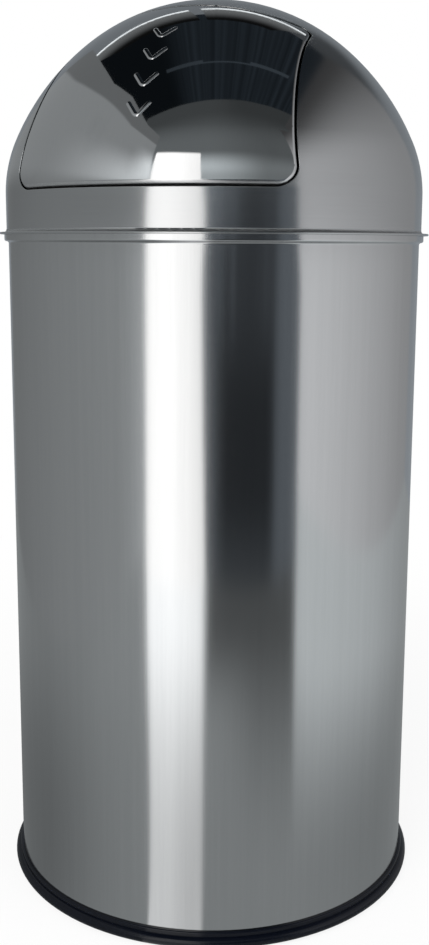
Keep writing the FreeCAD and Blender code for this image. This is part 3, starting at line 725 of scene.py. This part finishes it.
def ceiling_board(name, level, spots, material):
    """A level card. Each spot gives the way to the right and the way towards the camera."""
    corners = [camera_right * right + camera_side * near + upward(level) for right, near in spots]
    stage_card(name, corners, material)


def make_softbox():
    """The tall lamp that draws the white streak on the body."""
    bearing = -19.0
    distance = 1.15
    glow = Glow("softbox_light", bearing, (1.01, 1.0, 0.99))
    off_middle = glow.rise(abs(glow.along + 0.12), 0.02, 0.42)
    top_hem = glow.rise(glow.height, 1.16, 1.2)
    tone = glow.blend(top_hem, glow.grey(off_middle, 1.66, 1.36), (0.5, 0.5, 0.5))
    rows = (
        (0.0, -33.9, -3.7),
        (0.5, -33.4, -5.9),
        (0.6, -32.9, -3.7),
        (0.68, -31.0, -6.0),
        (1.2, -29.8, -7.0),
    )
    wall_card("softbox", bearing, distance, rows, glow.shine(tone))


def make_curtain():
    """The dark cloth right of the softbox, whose folds are lit in its upper half."""
    bearing = 17.0
    distance = 1.15
    glow = Glow("curtain_cloth", bearing, (0.88, 1.0, 1.13))
    edges = glow.rise(glow.along, 0.22, 0.34) + glow.rise(glow.along, -0.22, -0.46)
    foot = glow.rise(glow.height, 0.16, 0.0)
    upper = glow.rise(glow.height, 0.28, 0.5)
    tone = glow.blend(foot, glow.grey(edges, 0.024, 0.13), glow.grey(edges, 0.055, 0.13))
    tone = glow.blend(upper, tone, glow.grey(edges, 0.045, 0.14))
    lit_folds = glow.rise(glow.folds(9.0, 2.0, shift=0.33), 0.5, 0.68) * glow.rise(glow.height, 0.34, 0.5)
    tone = glow.blend(0.6 * lit_folds, tone, glow.plain(0.13))
    beside_lamp = glow.rise(glow.along, 0.05, -0.45) * glow.rise(glow.height, 0.555, 0.585)
    tone = glow.blend(0.8 * beside_lamp, tone, glow.plain(0.2))
    rows = ((0.0, -5.0, 43.4), (0.5, -5.0, 43.5), (0.58, -5.0, 41.0), (0.7, -5.0, 40.8))
    wall_card("curtain", bearing, distance, rows, glow.shine(tone))


def make_front_flat():
    """The tall cloth behind the softbox and the curtain. It dims upwards and to the right."""
    bearing = 5.0
    distance = 1.3
    glow = Glow("front_cloth", bearing, (0.92, 1.0, 1.03))
    right = glow.rise(glow.along, -0.25, 0.55)
    tone = glow.grey(right, 0.5, 0.2)
    for start, end, left_level, right_level in (
        (0.82, 1.0, 0.68, 0.22),
        (1.0, 1.35, 0.17, 0.12),
        (1.5, 2.7, 0.07, 0.05),
    ):
        tone = glow.blend(glow.rise(glow.height, start, end), tone, glow.grey(right, left_level, right_level))
    rows = (
        (0.0, -48.0, 40.0),
        (0.7, -48.0, 40.0),
        (0.9, -48.0, 41.8),
        (2.2, -48.0, 41.8),
        (2.21, -48.0, 70.0),
        (3.25, -48.0, 70.0),
    )
    wall_card("front_flat", bearing, distance, rows, glow.shine(tone))


def make_left_flat():
    """The broad flat on the left, which catches the softbox's light beside it."""
    bearing = -90.0
    distance = 0.8
    glow = Glow("left_flat_light", bearing)
    tone = glow.grey(glow.rise(glow.along, -1.2, 1.1), 0.19, 0.35)
    near_lamp = glow.rise(glow.along, 0.7, 1.15)
    tone = glow.blend(near_lamp, tone, glow.plain(0.46))
    above_rim = glow.rise(glow.height, 0.52, 0.62)
    tone = glow.blend(above_rim, tone, glow.grey(glow.rise(glow.along, -0.75, 0.2), 0.195, 0.26))
    above_lid = glow.rise(glow.height, 0.64, 0.8)
    tone = glow.blend(above_lid, tone, glow.plain(0.305))
    lit = glow.rise(glow.along, -0.12, 1.2) * glow.band(glow.height, 0.66, 0.78, 0.8, 1.23)
    tone = glow.blend(lit, tone, glow.plain(0.8))
    halo = glow.rise(glow.along, 0.82, 1.28) * glow.band(glow.height, 0.74, 0.9, 1.02, 1.42)
    tone = glow.blend(halo, tone, glow.plain(1.05))
    slant = glow.height - 0.18 * glow.rise(glow.along, -0.7, 0.6)
    tone = glow.blend(glow.rise(slant, 1.37, 1.41), tone, glow.plain(0.17))
    rows = ((0.0, -151.0, -32.0), (1.685, -151.0, -32.0), (1.69, -93.0, -32.0), (1.83, -68.0, -32.0))
    wall_card("left_flat", bearing, distance, rows, glow.shine(tone))


def make_right_flat():
    """The pale flat on the right, which dims away from the camera and upwards."""
    bearing = 90.0
    distance = 1.3
    glow = Glow("right_flat_light", bearing, (0.99, 1.0, 1.02))
    back = glow.rise(glow.along, -1.4, 1.3)
    above_rim = glow.rise(glow.height, 0.5, 0.62)
    tone = glow.blend(above_rim, glow.grey(back, 0.77, 0.33), glow.grey(back, 0.57, 0.32))
    tone = glow.blend(glow.rise(glow.height, 1.1, 2.35), tone, glow.plain(0.06))
    rows = ((0.0, 37.0, 150.0), (2.5, 37.0, 150.0))
    wall_card("right_flat", bearing, distance, rows, glow.shine(tone))


def make_back_wall():
    """The wall behind the bin, and the two lit pelmets over it that the flap's upper edge shows."""
    bearing = 180.0
    wall_distance = 1.36
    pelmet_distance = 1.34
    glow = Glow("back_wall_light", bearing, (0.92, 1.0, 1.08))
    tone = glow.grey(glow.rise(glow.height, 0.2, 2.0), 0.3, 0.2)
    dim = glow.rise(glow.along, -0.45, -0.8) * glow.rise(glow.height, 1.3, 1.8)
    tone = glow.blend(dim, tone, glow.plain(0.07))
    rows = ((0.0, 125.0, 235.0), (2.6, 125.0, 235.0))
    wall_card("back_wall", bearing, wall_distance, rows, glow.shine(tone))
    for name, left, right in (("pelmet_right", 149.0, 184.5), ("pelmet_left", 188.6, 228.0)):
        glow = Glow(name + "_light", bearing)
        hem = glow.height - 0.07 * glow.folds(26.0, 2.0)
        tone = glow.blend(glow.rise(hem, 2.1, 2.19), glow.plain(1.3), glow.plain(0.17))
        tone = glow.blend(glow.rise(hem, 2.2, 3.0), tone, glow.plain(0.006))
        rows = ((2.09, left, right), (3.2, left, right))
        wall_card(name, bearing, pelmet_distance, rows, glow.shine(tone))


def make_ceiling():
    """The dark folded cloth overhead, and the thin rail under it."""
    cloth_level = 3.25
    rail_level = 3.24
    glow = Glow("ceiling_cloth", 0.0, (0.76, 1.0, 1.25))
    lit_folds = 0.4 + 0.6 * glow.rise(glow.folds(11.0, 3.0), 0.3, 0.75)
    tone = glow.grey(glow.rise(glow.along, -0.9, -0.35) * lit_folds, 0.006, 0.027)
    spots = ((-3.2, 2.6), (3.2, 2.6), (3.2, -3.2), (-3.2, -3.2))
    ceiling_board("ceiling", cloth_level, spots, glow.shine(tone))
    glow = Glow("ceiling_rail_light", 0.0, (0.8, 1.0, 1.2))
    rail = glow.shine(glow.grey(glow.rise(glow.along, -1.0, 0.0), 0.04, 0.055))
    for name, start, end, depth in (
        ("rail_left", (-0.85, 0.35), (-0.2, 0.288), 0.1),
        ("rail_middle", (-0.2, 0.288), (0.6, 0.212), 0.04),
        ("rail_right", (0.6, 0.212), (1.35, 0.14), 0.1),
    ):
        spots = (start, end, (end[0], end[1] - depth), (start[0], start[1] - depth))
        ceiling_board(name, rail_level, spots, rail)


def make_table():
    """The round table top in the body's lower half, with the softbox's streak and the curtain's shade."""
    table_level = -0.001
    table_radius = 3.0
    table_sides = 48
    white = (0.99, 1.0, 1.005)
    glow = Glow("table_light", 0.0, (0.948, 1.0, 1.017))
    toward = glow.way(camera_side)
    reach = glow.along.hypot(toward)

    # Spots that the tube shows in one upright line share a bearing, which is that of the farthest of them
    bearing = glow.along.math("ARCTAN2", toward) * math.degrees(2.0) / (2 - BODY_RADIUS / reach)
    away = glow.rise(reach, 0.24, 1.0 - 0.2 * glow.rise(abs(bearing), 40.0, 60.0))
    left = glow.rise(bearing, -120.0, -35.0)
    right = glow.rise(bearing, 40.0, 130.0)
    near = glow.blend(glow.rise(bearing, 0.0, 60.0), glow.grey(left, 0.17, 0.3), glow.grey(right, 0.3, 0.25))
    far = glow.blend(glow.rise(bearing, -1.0, 1.0), glow.grey(left, 0.25, 0.35), glow.grey(right, 0.7, 0.55))
    far = glow.blend(glow.rise(bearing, 95.0, 165.0), far, glow.plain(0.31))
    shade = glow.rise(abs(bearing - 22.2), 25.5, 23.5)
    soft = glow.rise(bearing, 30.0, 2.0) * glow.rise(reach, 0.95, 0.5)
    far = glow.blend(shade, far, glow.grey(soft, 0.1, 0.33))
    streak = glow.rise(bearing + 2.0 * away, -35.3, -33.3) * glow.rise(bearing, -3.2, -6.2)
    near = glow.blend(streak, near, glow.grey(glow.rise(bearing, -27.0, -9.0), 0.88, 0.7, white))
    far = glow.blend(streak, far, glow.grey(glow.rise(bearing, -24.0, -2.0), 1.56, 1.36, white))
    corners = []
    for side in range(table_sides):
        turn = math.tau * side / table_sides
        corners.append((table_radius * math.cos(turn), table_radius * math.sin(turn), table_level))
    stage_card("table", corners, glow.shine(glow.blend(away, near, far)))


def make_floor():
    """White paper that keeps the bin's shadow."""
    floor_level = -0.002
    floor_reach = 40.0
    finish = Finish("floor_white")
    paper = finish.blend(finish.noise(3.0), (0.88, 0.88, 0.88), (0.92, 0.92, 0.92))
    plain = finish.node("ShaderNodeBsdfDiffuse", sockets={"Color": paper})
    white = finish.node("ShaderNodeEmission", sockets={"Strength": 1.0})
    away = finish.rise(finish.x.hypot(finish.y), 0.25, 1.2)
    sockets = {0: finish.seen() * (0.88 + 0.12 * away), 1: plain, 2: white}
    mixed = finish.node("ShaderNodeMixShader", sockets=sockets)
    mesh = bpy.data.meshes.new("floor")
    signs = ((-1, -1), (1, -1), (1, 1), (-1, 1))
    corners = [(floor_reach * x, floor_reach * y, floor_level) for x, y in signs]
    mesh.from_pydata(corners, [], [range(4)])
    mesh.materials.append(finish.done(mixed))
    floor = new_object("floor", mesh)


def make_world():
    """Even white air, which lights the bin at about half the level that the camera sees."""
    world = bpy.data.worlds.new("studio_air")
    world.use_nodes = True
    scene.world = world
    tree = Tree(world.node_tree)
    sockets = {"Color": (1.0, 1.0, 1.0, 1.0), "Strength": 0.55 + 0.45 * tree.seen()}
    air = tree.node("ShaderNodeBackground", sockets=sockets)
    tree.node("ShaderNodeOutputWorld", sockets={"Surface": air})


def make_lamp(name, bearing, distance, height, width, power):
    """A soft lamp aimed at the bin's middle, which the steel doesn't show."""
    aim_height = 0.35
    data = bpy.data.lights.new(name, "AREA")
    data.size = width
    data.energy = power
    lamp = new_object(name, data)
    lamp.location = bearing_axes(bearing)[0] * distance + upward(height)
    aim = upward(aim_height) - lamp.location
    lamp.rotation_euler = aim.to_track_quat("-Z", "Y").to_euler()
    lamp.visible_glossy = False
    lamp.visible_camera = False


def make_camera():
    pitch = math.radians(CAMERA_PITCH)
    roll = math.radians(CAMERA_ROLL)
    forward = camera_side * -math.cos(pitch) - upward(math.sin(pitch))
    level_up = camera_right.cross(forward)
    right = camera_right * math.cos(roll) + level_up * math.sin(roll)
    up = level_up * math.cos(roll) - camera_right * math.sin(roll)
    data = bpy.data.cameras.new("photo_camera")
    data.sensor_width = SENSOR
    data.lens = FOCAL_PIXELS / PICTURE_HEIGHT * SENSOR
    data.shift_x, data.shift_y = CAMERA_SHIFT
    camera = new_object("photo_camera", data)
    spot = camera_side * CAMERA_DISTANCE + upward(CAMERA_HEIGHT)
    camera.matrix_world = Matrix.Translation(spot) @ Matrix((right, up, -forward)).transposed().to_4x4()
    scene.camera = camera


make_softbox()
make_curtain()
make_front_flat()
make_left_flat()
make_right_flat()
make_back_wall()
make_ceiling()
make_table()
make_floor()
make_world()
make_lamp("key_softbox", bearing=-25.0, distance=2.0, height=1.7, width=1.2, power=40.0)
make_lamp("fill_softbox", bearing=55.0, distance=2.2, height=1.5, width=1.6, power=20.0)
make_camera()
scene.view_settings.view_transform = "Standard"
